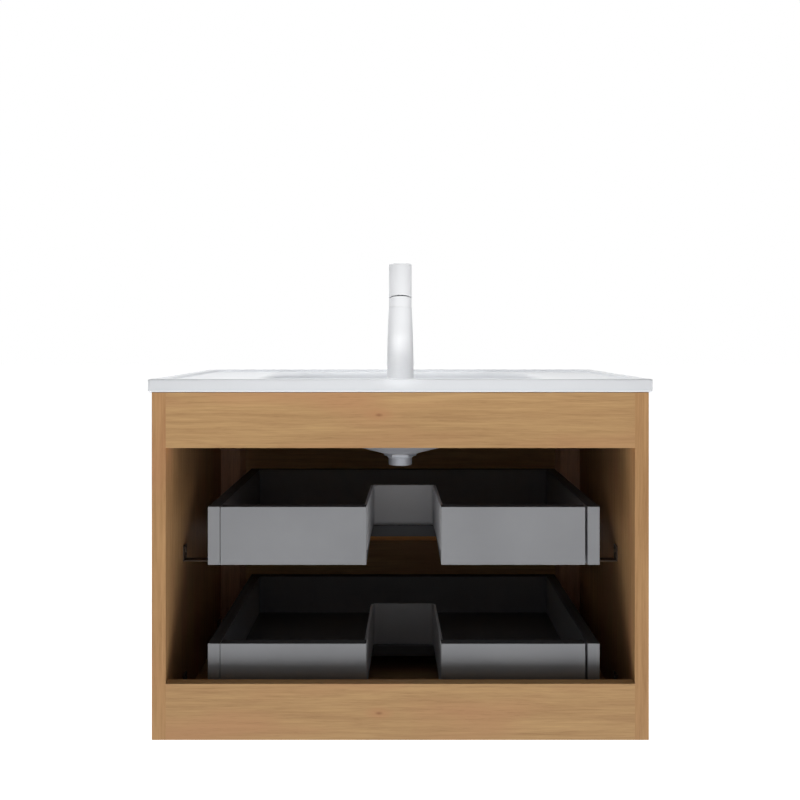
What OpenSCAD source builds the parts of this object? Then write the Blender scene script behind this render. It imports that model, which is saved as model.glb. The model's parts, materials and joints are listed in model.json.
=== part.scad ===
// Wall-hung vanity unit: an open-backed oak cabinet with two drawers that are
// notched for the drain, a slab basin with one bowl, and a single-lever mixer tap.
// +Z is up and the unit faces -Y. The origin is the middle of the top rear rail's
// rear face, in the plane of the wall. Depths are counted from the wall.

/* [Cabinet] */
// Width over the side panels
cab_w = 784.7; // [760:0.1:798]
// Height of the cabinet under the slab
cab_h = 548.6; // [530:0.1:600]
// Thickness of a side panel
side_t = 22; // [16:0.5:25]
// Thickness of the two rear rails
rail_t = 19; // [12:0.5:20]
// Height of the top rear rail
top_rail_h = 87.6; // [60:0.1:110]
// Height of the bottom rear rail
bottom_rail_h = 88.6; // [60:0.1:110]
// Thickness of the bottom panel
bottom_t = 19; // [12:0.5:22]
// Width of a front stile on its rear face
stile_w = 40.2; // [30:0.1:41]
// Thickness of a front stile
stile_t = 12; // [8:0.5:18]
// Extra width of a stile at its front face, down the bevel
stile_bevel = 9; // [2:0.5:9]
// Height of the top front rail
front_rail_h = 60; // [40:1:80]
// Thickness of the top front rail
front_rail_t = 14; // [12:0.5:16]

/* [Slab basin] */
// Width of the slab
slab_w = 800; // [799:1:840]
// Depth of the slab from the wall
slab_d = 460; // [450:1:500]
// Thickness of the slab at its edge
slab_t = 21; // [18:0.5:30]
// Radius of the slab's corners in plan
slab_corner = 6; // [4:0.5:12]
// Rounding of the slab's top and bottom edges
slab_edge = 2.5; // [1:0.5:3.5]
// Width of the raised rim
rim_w = 20; // [14:0.5:24]
// Depth of the deck under the rim
deck_drop = 5.5; // [3:0.5:8]
// Corner radius of the recessed deck
deck_corner = 40; // [20:1:60]
// Depth of the relief cast into the underside
relief_h = 5; // [3:0.5:7]
// Width of the bowl's mouth
bowl_w = 500; // [440:1:540]
// Depth at which the bowl's mouth begins
bowl_rear = 125; // [118:1:132]
// Width of the deck in front of the bowl's mouth, with the rim
bowl_land = 60; // [56:1:90]
// Corner radius of the bowl
bowl_corner = 60; // [50:1:65]
// Drop from the deck to the bowl's floor
bowl_depth = 108; // [100:1:112]
// Drop from the bowl's floor to the outlet
funnel_drop = 14; // [10:0.5:16]
// Thickness of the bowl's wall
bowl_wall = 9; // [7:0.5:11]
// Thickness of the ceramic round the outlet
outlet_t = 12.2; // [10:0.1:15]

/* [Waste] */
// Depth of the waste's axis
waste_d = 190; // [186:1:196]
// Outer radius of the threaded tail
tail_r = 20.955; // [19:0.005:21.5]
// Wall of the tail
tail_wall = 3.4; // [2.4:0.1:4.5]
// Length of the free tail under the nut
tail_free = 13; // [10:0.5:30]
// Radius of the flange in the bowl
flange_r = 31.5; // [29:0.5:32.5]
// Thickness of the flange
flange_t = 2.5; // [2:0.1:3]
// Thickness of the seal under the flange
seal_t = 1; // [0.6:0.1:1.6]
// Thickness of the rubber washer under the ceramic
washer_t = 1.3; // [1:0.1:3]
// Radius of the hexagonal nut over its corners
nut_r = 29; // [27:0.5:32]
// Height of the hexagonal part of the nut
nut_h = 4.2; // [3.5:0.1:8]
// Height of the collar under the nut
nut_collar_h = 3; // [2:0.1:5]
// Radius of the plug's cap
plug_r = 30; // [28:0.5:32]
// Height of the plug's dome
plug_dome = 4.2; // [3:0.1:6]
// Radius of the plug's stem
stem_r = 4; // [3:0.1:5]

/* [Tap] */
// Depth of the tap's axis
tap_d = 60; // [52:1:66]
// Radius of the tap at its foot
tap_foot_r = 21.9; // [20:0.1:24]
// Radius of the tap's upper part
tap_r = 18.7; // [18.2:0.1:19.6]
// Height of the body's top above the slab
tap_body_h = 115.5; // [105:0.5:125]
// Height of the seam under the handle, on the axis, above the slab
tap_seam_h = 129.6; // [126:0.1:136]
// Height of the handle's top above the slab
tap_top_h = 187; // [182:1:200]
// Slant of the seam
seam_tilt = 15; // [10:1:17]
// Width of the open seam
seam_gap = 2; // [1.6:0.1:2.6]
// Rounding of the handle's top edge
cap_edge = 2.4; // [1:0.1:4]
// Radius of the tap hole in the slab
tap_hole_r = 17.5; // [16:0.5:18]
// Thickness of the seal under the tap
tap_seal_t = 1.5; // [1:0.1:2.5]
// Reach of the spout's outlet from the tap's axis
spout_reach = 112; // [90:1:125]
// Radius of the spout at its root
spout_r = 12.6; // [11.6:0.1:13.5]
// Radius of the spout at its tip
spout_tip_r = 11.2; // [10.6:0.1:11.6]
// Height of the spout's tip above the slab
spout_tip_h = 96; // [86:1:100]
// Rise of the spout from root to tip
spout_rise = 12; // [6:1:20]
// Length of the lever in front of the handle
lever_l = 52; // [30:1:70]
// Radius of the lever
lever_r = 4; // [3:0.1:4.5]
// Radius of the fixing stud
stud_r = 4; // [3:0.1:4.5]
// Length of the fixing stud
stud_l = 66; // [55:1:80]
// Radius of the two threaded hose inlets
inlet_r = 5; // [4:0.1:5.5]

/* [Drawers] */
// Mean gap between a drawer box and the stiles
box_clear = 16.15; // [15.65:0.05:30]
// Height of a drawer box
box_h = 93; // [80:1:110]
// Thickness of the drawer boards
board_t = 19; // [14:0.5:20]
// Depth at which the boxes begin
box_rear = 22; // [21:0.5:30]
// Offset of both boxes to the left
box_shift = 5.5; // [-5.5:0.5:5.5]
// Underside of the upper box above the cabinet's underside
upper_z = 271; // [266:1:285]
// Underside of the lower box above the cabinet's underside
lower_z = 51.5; // [44:0.5:60]
// Gap beside the left rear board
back_gap_left = 4; // [1:0.5:6]
// Gap beside the right rear board
back_gap_right = 1; // [1:0.5:6]
// Width of the notch between the rear boards
notch_w = 120.2; // [110:0.1:140]
// Depth at which the cut-out in the drawer's bottom ends
notch_end = 226; // [222:1:250]
// Inner width of the notch surround behind the rear boards
shroud_w = 118; // [104:0.5:118]
// Inner width of the notch surround at its end
shroud_end_w = 110.6; // [100:0.1:112]
// Wall of the notch surround
shroud_t = 4.5; // [3:0.1:6]
// Step from the cut-out's end to the surround's end wall
shroud_step = 8; // [4:0.5:14]
// Width of the surround's foot
shroud_foot = 9; // [7:0.5:14]
// Thickness of the surround's foot
shroud_foot_t = 2; // [1.5:0.1:4]
// Inner corner radius of the surround
shroud_corner = 5; // [3:0.5:12]
// Thickness of a drawer front
front_t = 19; // [16:0.5:22]
// Gap between the cabinet and the drawer fronts
front_gap = 2; // [1.5:0.1:3]
// Finger gap above each drawer front
finger_gap = 18; // [14:0.5:20]
// Height of the lower drawer front
lower_front_h = 228; // [218:0.5:232]
// Bevel behind the top edge of a drawer front
front_bevel = 13; // [6:0.5:15]

/* [Runners] */
// Gap between the runners and the drawer fronts
runner_front_gap = 6; // [1:0.5:11]
// Length of the runners
runner_l = 350; // [300:5:350]
// Height of a runner
runner_h = 15; // [15:0.1:16]
// Width of the fixed rail
runner_w = 40; // [40:0.5:42]
// Thickness of the runner's steel
steel_t = 1.5; // [1.2:0.1:1.5]
// Running clearance inside the runner
runner_gap = 0.5; // [0.3:0.05:0.6]
// Inset of the runner's middle from the side of the box
runner_inset = 26; // [25.5:0.5:30]
// Width of a bracket along the rail
bracket_w = 20; // [16:1:30]
// Height of a bracket's plate
bracket_h = 26; // [22:1:32]
// Thickness of a bracket
bracket_t = 2; // [1.5:0.1:2.5]

/* [Fixings] */
// Radius of a dowel
dowel_r = 4; // [3:0.1:4.5]
// Length of a dowel in the rail
dowel_in = 18; // [12:1:24]
// Length of a dowel in the side panel
dowel_out = 12; // [8:0.5:13]
// Radius of a screw's shank
screw_r = 2; // [1.5:0.1:2.4]
// Radius of a countersunk head
head_r = 3.8; // [3.2:0.1:4.2]
// Length of the board screws
screw_l = 33; // [30:1:36]
// Length of the screws that hold the runners
short_screw_l = 14; // [10:0.5:16]
// Clearance round dowels, screws and studs
fit = 0.05; // [0.03:0.01:0.1]
// Thickness of a bumper pad
bumper_t = 1.7; // [1:0.1:1.7]

/* [Hidden] */
$fn = 64;

oak = [0.72, 0.59, 0.43];
oak_dark = [0.42, 0.30, 0.21];
board_grey = [0.55, 0.56, 0.57];
moulded_grey = [0.42, 0.43, 0.45];
white = [0.93, 0.94, 0.95];
metal = [0.72, 0.73, 0.75];
dark_steel = [0.20, 0.19, 0.19];
rubber = [0.12, 0.12, 0.12];
beech = [0.80, 0.66, 0.48];

// Levels, counted from the middle of the top rear rail.
floor_z = top_rail_h / 2 - cab_h;
cab_top = floor_z + cab_h;
slab_top = cab_top + slab_t;
deck_z = slab_top - deck_drop;
bowl_floor = deck_z - bowl_depth;
outlet_z = bowl_floor - funnel_drop;
bowl_front = slab_d - bowl_land;
relief_gap = bowl_wall + 4;
relief_edge = 8;
relief_side = 20;
under_z = outlet_z - outlet_t;

// How far the bowl's walls close in from its mouth to its floor.
taper_w = 110;
taper_rear = 25;
taper_front = 45;

// The funnel's plan on the bowl's floor, and the shell of ceramic under it.
funnel_w = 150;
funnel_l = 122;
funnel_inset = 28;
funnel_rear = bowl_rear + funnel_inset;
funnel_front = funnel_rear + funnel_l;
funnel_corner = 36;
funnel_flare = 20;
shell_side = 13;
shell_behind = 7;
shell_ahead = 15;
shell_w = funnel_w + 2 * shell_side;
shell_rear = funnel_rear - shell_behind;
shell_front = funnel_front + shell_ahead;
shell_corner = 40;
outlet_pad_r = 36;
upper_box_z = floor_z + upper_z;
lower_box_z = floor_z + lower_z;

// Depths of the cabinet's front parts.
carcass_d = slab_d - front_t - front_gap;
front_d = carcass_d + front_gap;
inside_x = cab_w / 2 - side_t;

// The upper front ends one finger gap under the slab, the lower one under it.
upper_front_z = floor_z + lower_front_h + finger_gap;
upper_front_h = cab_top - finger_gap - upper_front_z;

// Dowels on the inner face of a side panel, as [depth, level].
function pair(d, z, h) = [[d, z + h / 4], [d, z + 3 * h / 4]];
front_rail_d = carcass_d - front_rail_t / 2;
dowel_spots = concat(pair(rail_t / 2, cab_top - top_rail_h, top_rail_h),
    pair(rail_t / 2, floor_z, bottom_rail_h),
    pair(front_rail_d, cab_top - front_rail_h, front_rail_h),
    [for (f = [0.2, 0.5, 0.8])
        [rail_t + f * (carcass_d - rail_t), floor_z + bottom_t / 2]]);

// The waste, from the seat in the bowl downwards.
seat_drop = seal_t + flange_t - 0.5;
seat_z = outlet_z - seat_drop;
seat_clear = 1.5;
outlet_clear = 1.5;
nut_z = under_z - washer_t - nut_h;
thread_end = nut_z - nut_collar_h;
tail_z = thread_end - tail_free;
relief_groove = 0.8;
plug_gap = 0.3;
plug_z = seat_z + seal_t + flange_t + plug_gap;
core_h = 12;
core_z = under_z - 2;

// The tap, from the deck upwards. The seam's frame leans forward with the seam.
tap_z = deck_z + tap_seal_t;
body_top = slab_top + tap_body_h;
seam_z = slab_top + tap_seam_h;
cap_top = slab_top + tap_top_h;
part_line = 0.3;
cut = 120;
pocket_r = tap_r - 4.1;
pocket_h = 30;
cavity_r = tap_r - 2.4;
cavity_top = seam_z + 25;
pivot_y = 14;
pivot_z = 4.5;
pivot_r = 1.5;
pivot_fit = 0.06;
ear_r = 2.2;
lug_w = 4;
ear_w = 2.6;
spindle_r = 12.5;
spindle_top = 1.5;
spindle_base = -seam_gap / 2 - 1.6;
cartridge_gap = 0.3;
lever_z = cap_top - 19;
lever_tilt = 12;
lever_socket = 9;
aerator_r = spout_tip_r - 1.8;
aerator_h = 7;
spout_drop = 15;
waterway_r = 5;
stud_y = 12;
inlet_x = 6.5;
inlet_y = -6;
inlet_h = 13;
stud_in = 14;
clamp_r = 24;
clamp_t = 2;
clamp_open_r = inlet_x + inlet_r + 1;
clamp_z = cab_top + relief_h - clamp_t;
stud_nut_h = 18;

// The drawer boxes.
box_w = 2 * (inside_x - stile_w - box_clear);
in_w = box_w - 2 * board_t;
box_front_d = front_d - board_t;
shroud_end = notch_end + shroud_step;

// Head of a pan-headed screw.
pan_h = 2;
pan_rim = 1.2;

// Levels inside a runner, counted from the underside of the fixed rail.
runner_rear = front_d - runner_front_gap - runner_l;
rail_h = 4 * runner_gap + 2 * steel_t + 2;
slide_h = runner_h - rail_h - 2 * runner_gap;
lip_w = 7;
slide_lip_w = 5;
slide_w = runner_w - 10;
ear_out = 10;
bracket_spots = [runner_rear + 25, runner_rear + runner_l - 40];
slide_screw_spots = [runner_rear + 35, runner_rear + runner_l - 55];
runner_x = box_w / 2 - runner_inset;
slide_screw_x = runner_x + slide_w / 2 + ear_out - 4.6;
bracket_screws = [8, 18];

// A straight board between two widths, two depths and two levels.
module board(x, d, z)
    translate([x[0], -d[1], z[0]])
        cube([x[1] - x[0], d[1] - d[0], z[1] - z[0]]);

// A span on the left (-1) or the right (1) of the middle.
function span(s, a, b) = s > 0 ? [a, b] : [-b, -a];

// A ring or a disc on a vertical axis.
module ring(r, hole, h) difference() {
    cylinder(h = h, r = r);
    translate([0, 0, -1]) cylinder(h = h + 2, r = hole);
}

// Four round posts at the corners of a plan; hull() makes a slab of them.
module posts(w, d0, d1, r, z, h = 0.02, n = 32)
    for (x = [-1, 1], d = [d0 + r, d1 - r])
        translate([x * (w / 2 - r), -d, z]) cylinder(h = h, r = r, $fn = n);

// A countersunk screw whose head is flush at z = 0 and whose tip points down.
module screw(l, gap = 0) {
    head = head_r - screw_r;
    translate([0, 0, -head]) cylinder(h = head, r1 = screw_r + gap, r2 = head_r + gap, $fn = 24);
    translate([0, 0, -l - 4 * gap]) cylinder(h = l - head + 4 * gap, r = screw_r + gap, $fn = 24);
}

// A pan-headed screw whose head stands on z = 0 and whose tip points down.
module pan_screw(l) {
    cylinder(h = pan_h, r = screw_r + pan_rim, $fn = 24);
    translate([0, 0, -l]) cylinder(h = l + pan_h / 4, r = screw_r, $fn = 24);
}

// Cabinet

// Dowels of one side; their holes are the same pins with the clearance added.
module dowels(s, gap = 0)
    for (p = dowel_spots)
        translate([s * (inside_x - dowel_in - gap), -p[0], p[1]]) rotate([0, s * 90, 0])
            cylinder(h = dowel_in + dowel_out + 2 * gap, r = dowel_r + gap, $fn = 32);

// Screw holes of the runner brackets in the side panels.
module runner_holes(s, gap = 0)
    for (z = [upper_box_z, lower_box_z], d = bracket_spots, h = bracket_screws)
        translate([s * (inside_x - bracket_t), -d - bracket_w / 2, z - runner_h - bracket_t + h])
            rotate([0, -s * 90, 0])
                if (gap > 0) translate([0, 0, -short_screw_l - gap])
                    cylinder(h = short_screw_l + 2, r = screw_r + gap, $fn = 24);
                else pan_screw(short_screw_l);

module side_panel(s) color(oak) difference() {
    board(span(s, inside_x, cab_w / 2), [0, carcass_d], [floor_z, cab_top]);
    dowels(s, fit);
    runner_holes(s, fit);
}
module side_panel_left() side_panel(-1);
module side_panel_right() side_panel(1);

module cross_board(d, z) color(oak) difference() {
    board([-inside_x, inside_x], d, z);
    for (s = [-1, 1]) dowels(s, fit);
}
module bottom_panel() cross_board([rail_t, carcass_d], [floor_z, floor_z + bottom_t]);
module top_rear_rail() cross_board([0, rail_t], [cab_top - top_rail_h, cab_top]);
module bottom_rear_rail() cross_board([0, rail_t], [floor_z, floor_z + bottom_rail_h]);
module top_front_rail()
    cross_board([carcass_d - front_rail_t, carcass_d], [cab_top - front_rail_h, cab_top]);

// A stile is glued to the side panel, and its inner edge is bevelled outwards.
module front_stile(s) color(oak_dark)
    translate([0, 0, floor_z + bottom_t])
        linear_extrude(cab_h - bottom_t - front_rail_h)
            polygon([for (p = [[inside_x, carcass_d - stile_t], [inside_x - stile_w, carcass_d - stile_t],
                [inside_x - stile_w - stile_bevel, carcass_d], [inside_x, carcass_d]]) [s * p[0], -p[1]]]);
module front_stile_left() front_stile(-1);
module front_stile_right() front_stile(1);

module carcass_dowels() color(beech) for (s = [-1, 1]) dowels(s);

// Pads on the front edges of the side panels, near the corners of both fronts.
module front_bumpers() color(rubber)
    for (s = [-1, 1], z = [floor_z + 25, floor_z + lower_front_h - 30,
        upper_front_z + 25, upper_front_z + upper_front_h - 30])
        translate([s * (cab_w / 2 - side_t / 2), -carcass_d, z]) rotate([90, 0, 0])
            cylinder(h = bumper_t, r = 5, $fn = 32);

// Slab basin and waste

// Plan of the bowl at an angle down its wall: 0 is the mouth, 90 the floor.
module bowl_ring(a, grow, z)
    let (in = 1 - cos(a)) posts(bowl_w + 2 * grow - taper_w * in, bowl_rear - grow + taper_rear * in,
        bowl_front + grow - taper_front * in, bowl_corner + grow / 2, z, n = 40);

module basin() color(white) difference() {
    union() {
        hull() {
            posts(slab_w, 0, slab_d, slab_corner, cab_top + slab_edge, h = slab_t - 2 * slab_edge);
            for (a = [0 : 30 : 60]) let (e = slab_edge * (1 - sin(a)), z = slab_edge * (1 - cos(a)))
                posts(slab_w - 2 * e, e, slab_d - e, slab_corner, cab_top + z, h = slab_t - 2 * z);
        }
        hull() for (a = [0 : 15 : 90])
            bowl_ring(a, bowl_wall, deck_z - 2 - (bowl_depth + bowl_wall) * sin(a));
        hull() {
            translate([0, -waste_d, under_z]) cylinder(h = 1, r = outlet_pad_r, $fn = 40);
            posts(shell_w, shell_rear, shell_front, shell_corner, bowl_floor - bowl_wall - 1);
        }
    }
    hull() {
        posts(slab_w - 2 * rim_w - 4, rim_w + 2, slab_d - rim_w - 2, deck_corner - 2, deck_z);
        posts(slab_w - 2 * rim_w, rim_w, slab_d - rim_w, deck_corner, deck_z + 2.5, h = deck_drop);
    }
    difference() {
        board([-inside_x + relief_side, inside_x - relief_side],
            [rail_t + relief_edge, carcass_d - front_rail_t - relief_edge],
            [cab_top - 1, cab_top + relief_h]);
        board([-bowl_w / 2 - relief_gap, bowl_w / 2 + relief_gap],
            [bowl_rear - relief_gap, slab_d], [cab_top - 2, cab_top + relief_h + 1]);
    }
    hull() {
        bowl_ring(0, 0, deck_z + 1);
        for (a = [0 : 10 : 90]) bowl_ring(a, 0, deck_z - bowl_depth * sin(a));
    }
    hull() {
        translate([0, -waste_d, outlet_z]) cylinder(h = 0.02, r = flange_r + seat_clear + 1, $fn = 48);
        posts(funnel_w, funnel_rear, funnel_front, funnel_corner, bowl_floor - 1);
        posts(funnel_w + funnel_flare, funnel_rear - 1, funnel_front + funnel_flare,
            funnel_corner + 4, bowl_floor + 1);
    }
    translate([0, -waste_d, seat_z]) cylinder(h = 20, r = flange_r + seat_clear);
    translate([0, -waste_d, under_z - 1]) cylinder(h = outlet_t + 2, r = tail_r + outlet_clear);
    translate([0, -tap_d, cab_top]) cylinder(h = slab_t, r = tap_hole_r);
}

// The waste's body: a flange on a threaded tail, open right through.
module waste_body() color(metal) translate([0, -waste_d, 0]) difference() {
    rotate_extrude() polygon([[tail_r - tail_wall, tail_z], [tail_r - 0.8, tail_z],
        [tail_r, tail_z + 0.8], [tail_r, thread_end],
        [tail_r - relief_groove, thread_end], [tail_r - relief_groove, thread_end + 1],
        [tail_r, thread_end + 1], [tail_r, seat_z + seal_t], [flange_r, seat_z + seal_t],
        [flange_r, seat_z + seal_t + flange_t - 0.6], [flange_r - 1.2, seat_z + seal_t + flange_t],
        [tail_r - tail_wall + 4, seat_z + seal_t + flange_t],
        [tail_r - tail_wall, seat_z + seal_t + flange_t - 4]]);
}

module waste_seal() color(rubber) translate([0, -waste_d, seat_z])
    ring(flange_r - 0.5, tail_r + 2 * fit, seal_t);
module waste_washer() color(rubber) translate([0, -waste_d, under_z - washer_t])
    ring(nut_r - 2, tail_r + 2 * fit, washer_t);

module waste_nut() color(metal) translate([0, -waste_d, nut_z]) difference() {
    union() {
        cylinder(h = nut_h, r = nut_r, $fn = 6);
        translate([0, 0, -nut_collar_h]) cylinder(h = nut_collar_h, r1 = tail_r + 1, r2 = tail_r + 3.5);
    }
    translate([0, 0, -nut_collar_h - 1]) cylinder(h = nut_h + nut_collar_h + 2, r = tail_r + fit);
}

// A hub on three ribs that guides the plug's stem inside the tail.
module waste_core() color(metal) translate([0, -waste_d, core_z]) {
    bore = tail_r - tail_wall;
    ring(bore - 2 * fit, bore - 2.4, core_h);
    ring(stem_r + 2.4, stem_r + fit, core_h);
    for (a = [90, 210, 330]) rotate(a)
        translate([stem_r + 2, -1, 0]) cube([bore - stem_r - 4, 2, core_h - 2]);
}

module waste_plug() color(metal) translate([0, -waste_d, plug_z]) rotate_extrude()
    polygon(concat([[0, core_z - 3 - plug_z], [stem_r, core_z - 3 - plug_z], [stem_r, 0], [plug_r, 0]],
        [for (a = [0 : 15 : 75]) [plug_r * cos(a), 1.2 + plug_dome * sin(a)]],
        [[0, 1.2 + plug_dome]]));

// Tap

// Places its children in the seam's frame: z is the swivel axis.
module at_seam() translate([0, -tap_d, seam_z]) rotate([seam_tilt, 0, 0]) children();

// Half-spaces over and under a plane of the seam's frame.
module over_seam(z) at_seam() translate([-cut / 2, -cut / 2, z]) cube(cut);
module under_seam(z) at_seam() translate([-cut / 2, -cut / 2, z - cut]) cube(cut);

// The body's radius swells in a parabola from the top to the foot.
foot_h = body_top - tap_z;
function body_r(t) = tap_r + (tap_foot_r - tap_r) * (1 - t * t);

// The spout runs along a straight line from the axis to the tip.
tip_z = slab_top + spout_tip_h;
spout_l = sqrt(pow(spout_reach, 2) + pow(spout_rise, 2));
spout_pitch = atan2(spout_rise, spout_reach);
module along_spout() translate([0, -tap_d, tip_z - spout_rise]) rotate([90 - spout_pitch, 0, 0]) children();
module at_tip() translate([0, -tap_d - spout_reach, tip_z]) children();

module tap_body() color(white) difference() {
    union() {
        translate([0, -tap_d, tap_z]) rotate_extrude()
            polygon(concat([[0, 0]], [for (i = [0 : 12]) [body_r(i / 12), i / 12 * foot_h]], [[0, foot_h]]));
        along_spout() cylinder(h = spout_l, r1 = spout_r, r2 = spout_tip_r - 0.8);
        at_tip() rotate_extrude() polygon(concat([[0, -spout_drop], [spout_tip_r, -spout_drop]],
            [for (a = [0 : 9 : 81]) spout_tip_r * [cos(a), sin(a)]], [[0, spout_tip_r]]));
    }
    translate([0, -tap_d, body_top - pocket_h]) cylinder(h = pocket_h + 1, r = pocket_r);
    along_spout() cylinder(h = spout_l, r = waterway_r);
    at_tip() translate([0, 0, -spout_drop - 1]) cylinder(h = spout_drop + 3, r = waterway_r + 1.5);
    at_tip() translate([0, 0, -spout_drop - 1]) cylinder(h = aerator_h + 1, r = aerator_r + fit);
    for (s = [-1, 1])
        translate([s * inlet_x, -tap_d + inlet_y, tap_z - 1]) cylinder(h = inlet_h + 1, r = inlet_r);
    translate([0, -tap_d + stud_y, tap_z - 1]) cylinder(h = stud_in + 1, r = stud_r + fit);
}

// The collar covers the cartridge and ends in the slanted seam.
module tap_collar() color(white) difference() {
    translate([0, -tap_d, body_top + part_line]) ring(tap_r, pocket_r, tap_seam_h);
    over_seam(-seam_gap / 2);
}

module tap_cartridge() color(metal) difference() {
    translate([0, -tap_d, body_top - pocket_h]) cylinder(h = pocket_h + tap_seam_h, r = pocket_r - 2 * fit);
    over_seam(spindle_base - cartridge_gap);
}

// The spindle turns on the cartridge; its ears hold the pin that the handle lifts on.
module tap_spindle() color(metal) at_seam() {
    translate([0, 0, spindle_base]) cylinder(h = spindle_top - spindle_base, r = spindle_r);
    for (s = [-1, 1]) translate([s * (lug_w / 2 + 0.2 + ear_w / 2), pivot_y, 0]) {
        translate([0, 0, pivot_z]) rotate([0, 90, 0]) cylinder(h = ear_w, r = ear_r, center = true, $fn = 32);
        translate([-ear_w / 2, -ear_r - 3, 0]) cube([ear_w, ear_r + 3, pivot_z]);
    }
    translate([0, pivot_y, pivot_z]) rotate([0, 90, 0])
        cylinder(h = lug_w + 2 * ear_w + 0.4, r = pivot_r, center = true, $fn = 32);
}

module tap_handle() color(white) difference() {
    union() {
        difference() {
            translate([0, -tap_d, seam_z - 10]) rotate_extrude()
                polygon(concat([[0, 0], [tap_r, 0]], [for (a = [0 : 15 : 90])
                    [tap_r - cap_edge * (1 - cos(a)), cap_top - seam_z + 10 - cap_edge * (1 - sin(a))]],
                    [[0, cap_top - seam_z + 10]]));
            translate([0, -tap_d, seam_z - 11]) cylinder(h = cavity_top - seam_z + 11, r = cavity_r);
            under_seam(seam_gap / 2);
        }
        at_seam() translate([0, pivot_y, pivot_z]) rotate([0, 90, 0])
            cylinder(h = lug_w, r = ear_r, center = true, $fn = 32);
        intersection() {
            translate([0, -tap_d, seam_z]) cylinder(h = cavity_top - seam_z + 1, r = cavity_r + 0.5);
            at_seam() translate([-lug_w / 2, pivot_y - ear_r, pivot_z]) cube([lug_w, 2 * ear_r + 6, 40]);
        }
    }
    at_seam() translate([0, pivot_y, pivot_z]) rotate([0, 90, 0])
        cylinder(h = lug_w + 2, r = pivot_r + pivot_fit, center = true, $fn = 32);
    at_lever() cylinder(h = tap_r + 5, r = lever_r + fit, $fn = 32);
}

// The lever's root sits in a blind socket in the front of the handle.
module at_lever() translate([0, -tap_d, lever_z]) rotate([90 - lever_tilt, 0, 0])
    translate([0, 0, tap_r - lever_socket]) children();
module tap_lever() color(white) {
    at_lever() cylinder(h = lever_socket + lever_l, r = lever_r, $fn = 32);
    at_lever() translate([0, 0, lever_socket + lever_l]) sphere(r = lever_r, $fn = 32);
}

// One blind hole in the aerator's face.
module jet() translate([0, 0, -1]) cylinder(h = 4, r = 1.3, $fn = 16);

module tap_aerator() color(metal) at_tip() translate([0, 0, -spout_drop - 1]) difference() {
    cylinder(h = aerator_h, r = aerator_r);
    for (a = [0 : 60 : 300]) rotate(a) translate([aerator_r * 0.55, 0, 0]) jet();
    jet();
}

module tap_base_seal() color(rubber) translate([0, -tap_d, deck_z])
    ring(tap_foot_r - 0.8, tap_hole_r, tap_seal_t);
module tap_stud() color(metal) translate([0, -tap_d + stud_y, tap_z + stud_in - stud_l])
    cylinder(h = stud_l, r = stud_r, $fn = 32);

// A horseshoe plate under the slab, open for the two hoses.
module tap_washer() color(metal) translate([0, -tap_d, clamp_z]) difference() {
    cylinder(h = clamp_t, r = clamp_r);
    translate([0, stud_y, -1]) cylinder(h = clamp_t + 2, r = stud_r + fit);
    translate([0, inlet_y, -1]) cylinder(h = clamp_t + 2, r = clamp_open_r);
    translate([-clamp_open_r, inlet_y - clamp_r, -1]) cube([2 * clamp_open_r, clamp_r, clamp_t + 2]);
}
module tap_nut() color(metal) translate([0, -tap_d + stud_y, clamp_z - stud_nut_h]) difference() {
    cylinder(h = stud_nut_h, r = stud_r + 3.5, $fn = 6);
    translate([0, 0, -1]) cylinder(h = stud_nut_h + 2, r = stud_r + fit, $fn = 32);
}

// Drawers

// Screws through a side board (s = -1 or 1) into the box front and the bottom.
module side_screws(s, gap = 0)
    for (p = concat([for (z = [0.3, 0.8]) [box_front_d + board_t / 2, z * box_h]],
        [for (f = [0.2, 0.5, 0.8]) [box_rear + f * (box_front_d - box_rear), board_t / 2]]))
        translate([s * box_w / 2, -p[0], p[1]]) rotate([0, s * 90, 0]) screw(screw_l, gap);

// Screws from inside the box into the drawer front.
module front_screws(gap = 0)
    for (x = [-0.4, -0.15, 0.15, 0.4])
        translate([x * in_w, -box_front_d, box_h * 0.6]) rotate([-90, 0, 0]) screw(screw_l, gap);

// Dowels between the rear boards and the drawer's bottom.
module back_dowels(gap = 0)
    for (s = [-1, 1], f = [0.3, 0.7])
        translate([s * (notch_w / 2 + f * (in_w - notch_w) / 2), -box_rear - board_t + 11 + gap, board_t / 2])
            rotate([90, 0, 0]) cylinder(h = 11 + dowel_in + 2 * gap, r = dowel_r - 1 + gap, $fn = 32);

// Screws up through the slide's ear into the side board.
module slide_screws(s, gap = 0)
    for (d = slide_screw_spots)
        translate([s * slide_screw_x, -d, -steel_t])
            if (gap > 0) cylinder(h = short_screw_l + gap, r = screw_r + gap, $fn = 24);
            else rotate([180, 0, 0]) pan_screw(short_screw_l);

module at_box(z) translate([-box_shift, 0, z]) children();

module drawer_side(s, z) color(board_grey) at_box(z) difference() {
    board(span(s, in_w / 2, box_w / 2), [box_rear, front_d], [0, box_h]);
    side_screws(s, fit);
    slide_screws(s, fit);
}
module drawer_box_front(z) color(board_grey) at_box(z) difference() {
    board([-in_w / 2, in_w / 2], [box_front_d, front_d], [0, box_h]);
    for (s = [-1, 1]) side_screws(s, fit);
    front_screws(fit);
}
module drawer_back(s, gap, z) color(board_grey) at_box(z) difference() {
    board(span(s, notch_w / 2, in_w / 2 - gap), [box_rear, box_rear + board_t], [0, box_h]);
    back_dowels(fit);
}
module drawer_bottom(z) color(board_grey) at_box(z) difference() {
    board([-in_w / 2, in_w / 2], [box_rear + board_t, box_front_d], [0, board_t]);
    board([-notch_w / 2, notch_w / 2], [box_rear, notch_end], [-1, board_t + 1]);
    for (s = [-1, 1]) side_screws(s, fit);
    back_dowels(fit);
}

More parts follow.
